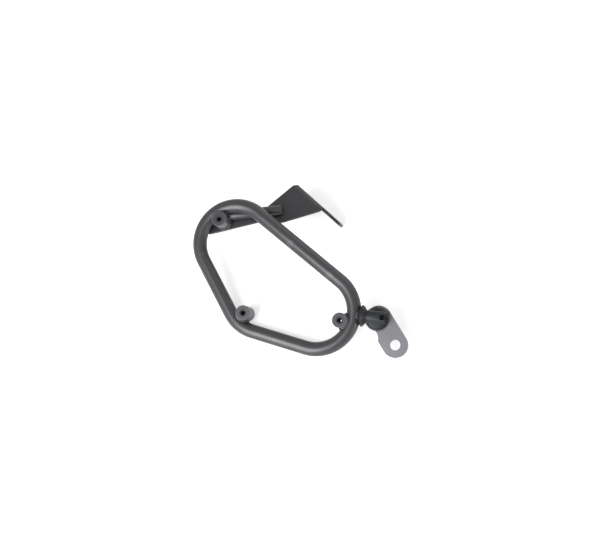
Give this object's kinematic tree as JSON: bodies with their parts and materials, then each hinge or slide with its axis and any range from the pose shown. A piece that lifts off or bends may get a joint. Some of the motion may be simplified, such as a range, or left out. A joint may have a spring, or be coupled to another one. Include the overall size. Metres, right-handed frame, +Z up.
{
  "type": "motorcycle pannier frame",
  "caption": "Side carrier for a motorcycle pannier: a closed loop of bent tube with threaded bosses, a folded upper bracket on a stay bar and a drilled lower lug.",
  "frame": {"origin": "middle of the lug plate's bolt hole", "axes": "+X forward along the loop's top tube, +Y inward to the motorcycle and away from the pannier, +Z up"},
  "size_m": [0.3127, 0.0969, 0.1938],
  "materials": {
    "black_coat": "satin black powder coat on steel tube",
    "boss_coat": "satin black powder coat on turned steel",
    "weld_coat": "satin black powder coat over weld beads",
    "sheet_coat": "satin black powder coat on folded steel sheet",
    "spacer_coat": "satin black powder coat on turned steel",
    "lug_coat": "satin grey-black powder coat on steel plate"
  },
  "bodies": {
    "root": {"loop_tube": "black_coat", "rear_boss": "boss_coat", "lower_boss": "boss_coat", "front_boss": "boss_coat", "rear_boss_weld": "weld_coat", "lower_boss_weld": "weld_coat", "front_boss_weld": "weld_coat", "stay_bar": "black_coat", "upper_bracket": "sheet_coat", "lug_spacer": "spacer_coat", "lug_plate": "lug_coat"}
  },
  "joints": []
}
